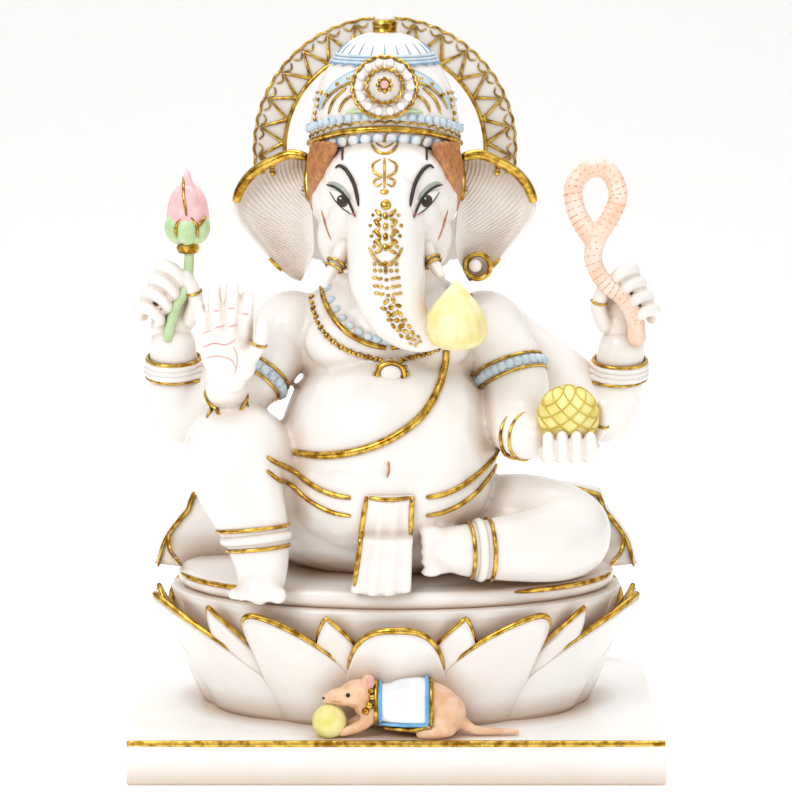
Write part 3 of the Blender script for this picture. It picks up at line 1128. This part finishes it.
finish_piece("pendant_setting", plate, gold, ["pendant"], lift=SEAT)
finish_piece("pendant_stone", stone, marble, lift=SEAT)
THREAD = [(40, 204), (39, 192), (34, 176), (22, 158), (4, 144), (-16, 134), (-38, 127), (-60, 123), (-82, 122)]
relief(thread, body_skin, THREAD, 6.4, 1.5, 0.6, tip=0.8, sides=3)
finish_piece("thread_line", thread, gold, ["sacred_thread"], lift=SEAT)


# --- belt and flap: the waistcloth's folded edge over the hips, and its end falling between the legs ---
# Carved cloth with gilded edges and a narrow pleat down each side.
belt = bmesh.new()
for drop, width in ((0, 4.6), (-15, 4.0)):
    for side in (-1, 1):
        rise = (1.6 + 0.25 * (drop < 0)) * 0.55
        run = [(-6 + side * (30 + 11 * i), 92 + drop + rise * i * i) for i in range(7)]
        relief(belt, body_skin, run, width, 1.5, 0.5, tip=0.6)
finish_piece("belt_lines", belt, gold, ["waist_belt"], lift=SEAT)
bm = bmesh.new()
bmesh.ops.create_grid(bm, x_segments=36, y_segments=44, size=1)
FLAP_TOP, FLAP_FOOT = 95, 17
for v in bm.verts:
    across, fall = v.co.x, (1 - v.co.y) / 2
    z = FLAP_TOP + (FLAP_FOOT - FLAP_TOP) * fall
    half = 19.5 + 4.5 * fall
    x = -5 - 7 * fall + half * across
    skin_y = -104 - 6 * fall if z < 60 else over(body_skin, -6, z).y - 3.2
    pleat = 1.1 * math.cos(across * math.pi * 3.5) * min(1, fall * 3)
    v.co = Vector((x, skin_y + 4.5 * across * across + pleat, z - 2.5 * (1 - across * across) * (fall > 0.98)))
bmesh.ops.smooth_vert(bm, verts=bm.verts, factor=0.5, use_axis_y=True)
bmesh.ops.recalc_face_normals(bm, faces=bm.faces)
if sum(f.normal.y for f in bm.faces) > 0:
    bmesh.ops.reverse_faces(bm, faces=bm.faces)
front = BVHTree.FromBMesh(bm)
bmesh.ops.solidify(bm, geom=bm.faces[:], thickness=22)
finish_piece("cloth_flap", bm, marble, ["dhoti_flap"], lift=SEAT)
edge = bmesh.new()
relief(edge, front, [(-23, 94), (-26, 74), (-29, 50), (-33, 22)], 4.4, 2, 0.4, tip=0.5)
relief(edge, front, [(13, 94), (12, 80), (11.5, 62)], 4.4, 2, 0.4, tip=0.5)
relief(edge, front, [(-21, 93), (-6, 92), (11, 93)], 3.6, 2, 0.4, tip=0.7)
finish_piece("flap_edges", edge, gold, lift=SEAT)
navel = bmesh.new()
relief(navel, body_skin, [(-6, 121), (-5.5, 114), (-7, 108)], 1.6, 1, 0.3, tip=0.2, sides=1)
finish_piece("navel_line", navel, umber, lift=SEAT)


# --- hands: four, carved with their attributes and doweled at the wrists ---
# Fingers are separated with a fine chisel; each thumb has a gilded ring.
def finger(points, tip):
    """A finger's masses from (x, y, z) joints, thinning to its tip radius."""
    count = len(points)
    return along([(*p, tip + (count - 1 - i) * 0.55) for i, p in enumerate(points)], 0.45)


def shifted(masses, base):
    """Moves masses given from a wrist to that wrist."""
    return [((m[0][0] + base[0], m[0][1] + base[1], m[0][2] + base[2]), *m[1:]) for m in masses]


RIGHT_WRIST, LEFT_WRIST = (-183, 12, 196), (185, 12, 194)
PALM_WRIST, BOWL_WRIST = (-136, -72, 176), (112, -86, 137)
palm = [((2, -8, 12), (17, 12, 18)), ((3, -10, 30), (22, 10, 22)), ((-10, -11, 38), (10, 9, 14)),
        ((14, -12, 22), (12, 10, 16))]
for foot, head_x, top, r in ((-15, -19, 66, 5.4), (-5, -7, 79, 6.0), (6, 7, 82, 6.2), (17, 19, 75, 5.8)):
    palm += finger([(foot, -10, 44), (foot + (head_x - foot) * 0.5, -14, 58 + (top - 66) * 0.3),
                    (head_x, -12, top - 6), (head_x, -9, top)], r - 1.0)
palm += finger([(16, -12, 20), (25, -18, 32), (30, -21, 43), (31, -20, 53)], 5.2)


def fist(side, thumb):
    """A closed hand: the palm, four fingers curled round the attribute, and the thumb over them."""
    masses = [((-side, 0, 16), (17, 13, 20)), ((-3 * side, 1, 36), (20, 13, 20)), ((0, -1, 50), (13, 11, 14))]
    for i in range(4):
        z, x = 66 - 11.0 * i, 3 - 6.0 * i
        joints = [(x - 11, 4, z - 8), (x - 10, -9, z), (x - 1, -18, z - 1), (x + 6, -17, z - 9),
                  (x + 4, -12, z - 13)]
        masses += finger([(side * across, y, up) for across, y, up in joints], 4.6 - 0.2 * i)
    return masses + finger(thumb, 5.4)


fist_r = fist(1, [(14, -6, 22), (20, -12, 38), (17, -15, 50), (12, -16, 60)])
fist_l = fist(-1, [(-14, -6, 20), (-20, -12, 34), (-18, -15, 46), (-14, -16, 56)])
cup = [((4, -2, -2), (14, 13, 12)), ((22, -8, -6), (22, 16, 9)), ((34, -10, -5), (16, 14, 8))]
for i, x in enumerate((6, 17, 28, 39)):
    cup += finger([(x, -12, -9), (x + 1, -26, -10), (x + 1.5, -34, -2 + i * 0.6),
                   (x + 1, -35, 9 - abs(i - 1.5))], 4.5)
cup += finger([(38, 0, -4), (48, -4, 6), (52, -6, 18), (51, -8, 28)], 4.6)
hands = {"rear_right_hand": (fist_r, RIGHT_WRIST), "rear_left_hand": (fist_l, LEFT_WRIST),
         "front_right_hand": (palm, PALM_WRIST), "front_left_hand": (cup, BOWL_WRIST)}
PALM_LINES = ([(-17, 34), (-8, 38), (2, 37), (10, 41)], [(-14, 26), (-4, 28), (6, 25), (10, 18)],
              [(8, 36), (11, 26), (9, 14)], [(-16, 46), (-9, 48)], [(-7, 50), (1, 52)], [(4, 51), (11, 53)],
              [(-8, 64), (-3, 64)], [(4, 66), (9, 66)], [(15, 62), (20, 61)])
hand_skins = {}
for name, (masses, wrist) in hands.items():
    made = carve(shifted(masses, wrist), 1.1, 3)
    if name == "front_right_hand":
        creases = [[(wrist[0] + x, wrist[1] - 20, wrist[2] + z) for x, z in line] for line in PALM_LINES]
        press(made, [smooth_path(c, 1.5) for c in creases], 1.6, 0.9)
    hand_skins[name] = BVHTree.FromBMesh(made)
    finish_piece("carved_" + name, made, marble, [name], lift=SEAT)
bm = bmesh.new()
for line in PALM_LINES:
    placed = [(PALM_WRIST[0] + x, PALM_WRIST[2] + z) for x, z in line]
    relief(bm, hand_skins["front_right_hand"], placed, 0.7, 1, 0.1, tip=0.3, sides=1)
finish_piece("palm_lines", bm, rose, lift=SEAT)


# --- lotus bud and stem: held in the upper right hand ---
# The bud is painted pink over pale green sepals, with a gilded calyx; the stem runs down the palm.
def plus(base, x, y, z):
    """A place given from another one."""
    return (base[0] + x, base[1] + y, base[2] + z)


bud, sepals, stem, calyx = (bmesh.new() for _ in range(4))
bud_base = Matrix.Translation(plus(RIGHT_WRIST, 14, -10, 84))
BUD_PROFILE = [(0, 4), (9, 6), (15.5, 14), (17, 22), (14.5, 31), (9, 42), (4.5, 52), (1.6, 60), (0, 63)]
add_dish(bud, bud_base, BUD_PROFILE, 40)
for k in range(3):
    turn = math.radians(120 * k + 90)
    petal = bud_base @ Matrix.Translation((-7 * math.cos(turn), -5 * math.sin(turn), 27))
    tilt = Matrix.Rotation(math.radians(8) * math.cos(turn), 4, "Y")
    add_ellipsoid(bud, petal @ tilt, (11, 10, 23), 3)
for x, lean in ((-9, -14), (9, 14), (0, 0)):
    leaf = bud_base @ Matrix.Translation((x, -6 if x else -10, 14))
    add_ellipsoid(sepals, leaf @ Matrix.Rotation(math.radians(lean), 4, "Y"), (9.5, 9, 12.5), 3)
add_dish(calyx, bud_base, [(0, -6), (8, -6), (9.6, -2), (8.4, 1.5), (9.2, 5), (0, 5)], 36)
tip_skin = BVHTree.FromBMesh(bud)
leaf_skin = BVHTree.FromBMesh(sepals)
bx, bz = bud_base.translation.x, bud_base.translation.z
CUP_EDGE = [(-9, 8), (-8, 18), (0, 25.4), (8, 18), (9, 8)]
for skin, run, width, lift, tip in ((leaf_skin, CUP_EDGE, 2.8, 0.4, 0.4),
                                    (leaf_skin, [(9, 17), (14, 23), (17, 27)], 2.6, 0.6, 0.4),
                                    (tip_skin, [(0, 26), (-2, 40), (-3, 56)], 2.4, 0.4, 0.5)):
    relief(calyx, skin, [(bx + x, bz + z) for x, z in run], width, lift=lift, tip=tip)
STEM = [(14, -10, 84), (15, -13, 72), (12, -14, 50), (4, -14, 34), (-1, -14, 18), (-3, -16, 6)]
add_line(stem, smooth_path([plus(RIGHT_WRIST, *spot) for spot in STEM], 2), 8.6, tip=0.8, sides=4)
pale_rose = enamel("pale_rose_enamel", "#FBDDDD", "#F2AEB4", scale=26)
finish_piece("pink_bud", bud, pale_rose, ["lotus_bud"], lift=SEAT)
finish_piece("bud_sepals", sepals, sage, lift=SEAT)
finish_piece("bud_stem", stem, sage, lift=SEAT)
finish_piece("bud_calyx", calyx, gold, lift=SEAT)


# --- noose: a looped rope in the upper left hand ---
# One cord in the round, tinted apricot, with the lay of its strands cut every 5 mm.
apricot = enamel("apricot_rope_enamel", "#FBE9DC", "#F5CDB0", scale=50)
loop = [(160, -2, 286, 10), (147, -2, 306, 9), (144, 0, 328, 9), (156, 2, 342, 9), (172, 2, 340, 9),
        (180, 0, 322, 9), (174, -2, 304, 9), (163, -4, 286, 9), (160, -8, 268, 8.5), (170, -8, 250, 8),
        (184, -6, 238, 8), (194, -4, 222, 8.5), (196, -8, 206, 8.5)]
run = smooth_path(loop, 1.0)
strands = [(p[:3], (p[3] * 0.82 + 0.55 * math.sin(i * 1.55),) * 3) for i, p in enumerate(run)]
rope = carve(strands, 1.3, 1)
finish_piece("rope_noose", rope, apricot, ["noose"], lift=SEAT)
lay = bmesh.new()
for start in range(4, len(run) - 8, 5):
    here, ahead = Vector(run[start][:3]), Vector(run[start + 3][:3])
    spin = (ahead - here).normalized().to_track_quat("Z", "Y").to_matrix()
    radius = run[start][3] * 0.84
    turn = [here + (ahead - here) * (k / 9) * 1.9 + spin @ Vector((radius * math.cos(a), radius * math.sin(a), 0))
            for k, a in enumerate(math.pi * 2 * j / 9 for j in range(10))]
    add_line(lay, turn, 1.1, tip=0.8, sides=1)
deep_apricot = enamel("deep_apricot_enamel", "#F0B184", "#E39A66", scale=70)
finish_piece("rope_lay_lines", lay, deep_apricot, lift=SEAT)


# --- sweets: a netted ball in the lower left hand and a pleated dumpling at the trunk's tip ---
# Modelled as a string-bound ball and a gathered dumpling, painted yellow and cream.
yellow = enamel("lemon_enamel", "#F6EFA6", "#EBDD7C")
yellow_line = enamel("lemon_line_enamel", "#DCC24F", "#CBAE3A")
cream = enamel("cream_enamel", "#FBF3C4", "#F2E394")
ball, net = bmesh.new(), bmesh.new()
ball_mid = Vector((136, -97, 157))
bmesh.ops.create_uvsphere(ball, u_segments=64, v_segments=40, radius=24.4, matrix=Matrix.Translation(ball_mid))
NET_RADIUS = 24.6
for tilt in (-38, 38):
    axis = Matrix.Rotation(math.radians(tilt), 4, "Y") @ Matrix.Rotation(math.radians(18), 4, "X")
    for k in range(-3, 4):
        up = math.radians(22 * k)
        ring = ring_points(Matrix.Translation(ball_mid) @ axis, NET_RADIUS * math.cos(up),
                           NET_RADIUS * math.sin(up), 60)
        add_line(net, ring, 1.5, closed=True, sides=1)
finish_piece("netted_sweet", ball, yellow, ["sweet_bowl"], lift=SEAT)
finish_piece("sweet_net", net, yellow_line, lift=SEAT)
dumpling = bmesh.new()
modak_at = Matrix.Translation((47, -107, 212))
DUMPLING_PROFILE = [(0, 0), (11, 0.6), (19, 4), (24.2, 11), (25, 19), (22.4, 28), (16.5, 37), (9.5, 45),
                    (5, 50), (2.4, 54), (0, 55)]
add_dish(dumpling, modak_at, DUMPLING_PROFILE, 112)
middle = modak_at.translation
for v in dumpling.verts:
    local = v.co - middle
    turn, reach = math.atan2(local.y, local.x), math.hypot(local.x, local.y)
    if reach > 2:
        groove = 1 - 0.055 * (1 - abs(math.sin(turn * 7 + local.z * 0.055))) ** 2
        v.co.x, v.co.y = middle.x + local.x * groove, middle.y + local.y * groove
finish_piece("pleated_dumpling", dumpling, cream, ["modak"], lift=SEAT)


# --- bracelets, armlets, anklets and thumb rings: raised bands carved on the limbs and gilded ---
# Each pair of gold cords has a white bead of stone between them.
def band_round(bm, skin, centre, axis, reach, width, lift=0.3, count=72, wave=0.0):
    """A band round a limb: rays from its middle to the skin, in the plane across axis."""
    spin = Vector(axis).to_track_quat("Z", "Y").to_matrix()
    ring = []
    for i in range(count):
        way = spin @ Vector((math.cos(2 * math.pi * i / count), math.sin(2 * math.pi * i / count), 0))
        hit = skin.ray_cast(Vector(centre), way)
        far = min(hit[3], reach) if hit[0] is not None else reach
        ring.append(Vector(centre) + way * (far + lift + wave * (i % 2)))
    for _ in range(2):
        ring = [(a + b * 2 + c) / 4 for a, b, c in zip(ring[-1:] + ring[:-1], ring, ring[1:] + ring[:1])]
    add_line(bm, ring, width, closed=True)


bands, white_bands, blue_beads = bmesh.new(), bmesh.new(), bmesh.new()
for wrist in (RIGHT_WRIST, LEFT_WRIST):
    middle = plus(wrist, 0, 0, -18)
    for shift, width in ((7, 3.4), (-8, 3.0)):
        band_round(bands, body_skin, plus(middle, 0, 0, shift), (0, -0.16, 1), 24, width, 2.0)
    for shift in (-4, 0, 4):
        band_round(white_bands, body_skin, plus(middle, 0, 0, shift - 0.5), (0, -0.16, 1), 24, 6.4, 1.2)
for shift in (2, 9):
    band_round(bands, body_skin, plus(PALM_WRIST, 0, 6 - shift * 0.2, -8 - shift), (0, -0.7, 0.7), 16.5, 3.0, 0.8)
for shift in (-16, -9):
    band_round(bands, body_skin, plus(BOWL_WRIST, shift, -shift * 0.9, 0), (0.7, -0.7, 0), 18, 3.0, 0.8)
finish_piece("rear_bracelet_bands", bands, gold, ["rear_bracelets", "front_bracelets"], lift=SEAT)
finish_piece("rear_bracelet_beads", white_bands, marble, lift=SEAT)
bands = bmesh.new()
ARMLETS = [((-116, -24, 176), (-0.55, -0.5, -0.75), 33), ((92, -26, 180), (0.30, -0.4, -0.85), 36)]
for centre, axis, reach in ARMLETS:
    way = Vector(axis).normalized()
    for shift in (-6, 6):
        band_round(bands, body_skin, Vector(centre) + way * shift, way, reach, 2.6, 0.6)
    spin = way.to_track_quat("Z", "Y").to_matrix()
    for i in range(26):
        ray = spin @ Vector((math.cos(2 * math.pi * i / 26), math.sin(2 * math.pi * i / 26), 0))
        hit = body_skin.ray_cast(Vector(centre), ray)
        if hit[0] is not None and hit[3] < reach:
            add_ball(blue_beads, hit[0], 4.2)
finish_piece("armlet_bands", bands, gold, ["armlets"], lift=SEAT)
finish_piece("armlet_beads", blue_beads, pale_blue, lift=SEAT)
bands, white_bands = bmesh.new(), bmesh.new()
for centre, axis, reach in (((-110, -93, 58), (-0.1, 0.15, 1), 36), ((66, -92, 48), (1, 0.2, 0), 34)):
    way = Vector(axis).normalized()
    for shift in (-8, 8):
        band_round(bands, body_skin, Vector(centre) + way * shift, way, reach, 3.2, 0.8)
    band_round(white_bands, body_skin, Vector(centre), way, reach, 9.0, -1.6)
finish_piece("anklet_bands", bands, gold, ["anklets"], lift=SEAT)
finish_piece("anklet_beads", white_bands, marble, lift=SEAT)
rings = bmesh.new()
for name, centre, axis, reach in (("front_right_hand", plus(PALM_WRIST, 28, -20, 38), (0.3, -0.2, 1), 9),
                                  ("rear_right_hand", plus(RIGHT_WRIST, 18, -13, 46), (-0.3, -0.2, 1), 9),
                                  ("rear_left_hand", plus(LEFT_WRIST, -19, -13, 40), (0.2, -0.2, 1), 9),
                                  ("front_left_hand", plus(BOWL_WRIST, 50, -5, 12), (0.3, -0.2, 1), 8)):
    band_round(rings, hand_skins[name], centre, axis, reach, 2.4, 0.2, 40)
finish_piece("thumb_rings", rings, gold, lift=SEAT)


# --- mouse: the small mount on the plinth, with its saddle cloth, collar and a sweet ---
# Carved apart, painted flesh tan, and bedded on the slab.
tan = enamel("tan_mouse_enamel", "#F0CBAA", "#E2B087", scale=90)
MOUSE_Y, PLINTH_TOP = -116, 36
mouse = [((16, MOUSE_Y, 24), (35, 16, 22)), ((38, MOUSE_Y, 18), (18, 17, 18)), ((-8, MOUSE_Y, 26), (16, 13, 15)),
         ((-28, MOUSE_Y, 34), (18, 12, 12)), ((-42, MOUSE_Y - 1, 32), (14, 8, 7.5)),
         ((-53, MOUSE_Y - 1, 30.5), (6, 5, 4.5)), ((-20, MOUSE_Y, 26), (14, 12, 14))]
for dy in (-9, 9):
    mouse += [((-22, MOUSE_Y + dy, 46), (5.5, 3.2, 6.5))]
    near, wide = MOUSE_Y + dy, MOUSE_Y + dy * 1.2
    mouse += along([(-16, MOUSE_Y + dy * 0.8, 22, 6), (-26, near, 12, 5), (-36, near, 7, 4),
                    (-43, near, 5, 3.4)])
    mouse += along([(40, near, 10, 9), (32, wide, 6, 6), (20, wide, 4.5, 4.5)])
mouse += along([(50, MOUSE_Y, 12, 6), (62, MOUSE_Y - 2, 5, 4), (76, MOUSE_Y - 2, 4, 3.2), (96, MOUSE_Y - 1, 3.4, 2.4)])
bm = carve(mouse, 1.2, 4)
bmesh.ops.bisect_plane(bm, geom=bm.verts[:] + bm.edges[:] + bm.faces[:], plane_co=(0, 0, 0.3),
                       plane_no=(0, 0, 1), clear_inner=True)
bmesh.ops.holes_fill(bm, edges=[e for e in bm.edges if e.is_boundary], sides=0)
mouse_skin = BVHTree.FromBMesh(bm)
finish_piece("painted_mouse", bm, tan, ["mouse"], lift=PLINTH_TOP)
eye_bm, ear_bm, cloth, trim, edge_bm, sweet = (bmesh.new() for _ in range(6))
for x, z, r in ((-38, 35.5, 1.9), (-57.5, 31.5, 1.2)):
    spot = over(mouse_skin, x, z, 0.0)
    add_ball(eye_bm, spot, r)
for x in (-46, -49, -52):
    relief(eye_bm, mouse_skin, [(x, 30.5), (x + 2, 29)], 0.5, 1, 0.1, sides=1)
spot = over(mouse_skin, -21, 46.5, 0.0)
add_ellipsoid(ear_bm, Matrix.Translation(spot), (3.4, 1.4, 4.2))


def saddle_ring(x, lift, low=9):
    """Points over the mouse's back at x, from its front side to its back side."""
    ring = []
    for k in range(25):
        way = math.radians(-200 + 220 * k / 24)
        ray = Vector((0, -math.cos(way), -math.sin(way)))
        hit = mouse_skin.ray_cast(Vector((x, MOUSE_Y, 18)), ray)
        if hit[0] is not None and hit[0].z > low - 0.01:
            ring.append(hit[0] + ray * lift)
    return ring


rows = [saddle_ring(x, 1.6) for x in range(-16, 29, 2)]
count = min(len(r) for r in rows)
loops = []
for row in rows:
    first = (len(row) - count) // 2
    verts = [cloth.verts.new(p) for p in row[first:first + count]]
    loops.append([cloth.edges.new(pair) for pair in zip(verts, verts[1:])])
for a, b in zip(loops, loops[1:]):
    bmesh.ops.bridge_loops(cloth, edges=a + b)
bmesh.ops.recalc_face_normals(cloth, faces=cloth.faces)
if sum(f.normal.y * f.calc_center_median().y for f in cloth.faces) > 0 and sum(
        f.normal.z for f in cloth.faces) < 0:
    bmesh.ops.reverse_faces(cloth, faces=cloth.faces)
bmesh.ops.solidify(cloth, geom=cloth.faces[:], thickness=1.4)
white_cloth = enamel("white_saddle_enamel", "#FAFBFD", "#ECF0F5")
finish_piece("saddle_cloth", cloth, white_cloth, ["mouse_saddle"], lift=PLINTH_TOP)
for x in (-12.5, 24.5):
    add_line(edge_bm, saddle_ring(x, 2.6, 12), 2.8, tip=0.9)
relief(edge_bm, mouse_skin, [(x, 13.5) for x in range(-12, 26, 4)], 2.6, 2, 2.8, tip=0.9)
for x in (-16, 28):
    add_line(trim, saddle_ring(x, 1.8, 9), 3.2, tip=0.9)
relief(trim, mouse_skin, [(x, 9.5) for x in range(-16, 30, 4)], 3.4, 2, 2.2, tip=0.9)
for x, z, r in ((-19, 34, 3.2), (-21, 28, 3.4), (-24, 23, 3.2), (-20, 39, 2.6)):
    spot = over(mouse_skin, x, z, 0.2)
    add_ball(trim, spot, r)
sky_cloth = enamel("sky_blue_edge_enamel", "#7DC0EA", "#5FA8DC")
finish_piece("saddle_blue_edge", edge_bm, sky_cloth, lift=PLINTH_TOP)
finish_piece("saddle_gold_edge", trim, gold, lift=PLINTH_TOP)
finish_piece("mouse_eyes", eye_bm, black, lift=PLINTH_TOP)
finish_piece("mouse_inner_ear", ear_bm, rose, lift=PLINTH_TOP)
SWEET_AT = Vector((-53, -120, 12.6))
add_ball(sweet, SWEET_AT, 13.6, 4)
for v in sweet.verts:
    local = v.co - SWEET_AT
    v.co += local.normalized() * 0.5 * math.sin(local.x * 1.1) * math.sin(local.z * 1.1 + local.y)
finish_piece("mouse_laddu", sweet, yellow, ["mouse_sweet"], lift=PLINTH_TOP)


# --- dowels: stainless pins set in resin inside the stone ---
# They stay as designed; turned bar with fine circular tool marks.
def turned_steel():
    """Turned stainless bar: a grey metal with close tool marks, half a millimetre apart."""
    material, tree, surface = new_material("turned_stainless_steel")
    place = add_node(tree, "ShaderNodeTexCoord").outputs["Object"]
    marks = add_node(tree, "ShaderNodeTexWave", [("Vector", place), ("Scale", 300.0)], bands_direction="Z")
    vary_gloss(tree, surface, marks.outputs["Fac"], 0.28, 0.42)
    surface.inputs["Base Color"].default_value = linear("#B9BBBD")
    surface.inputs["Metallic"].default_value = 1.0
    return material


steel = turned_steel()
for name in ("seat_dowels", "body_dowels", "hand_dowels"):
    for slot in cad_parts[name].material_slots:
        slot.material = steel
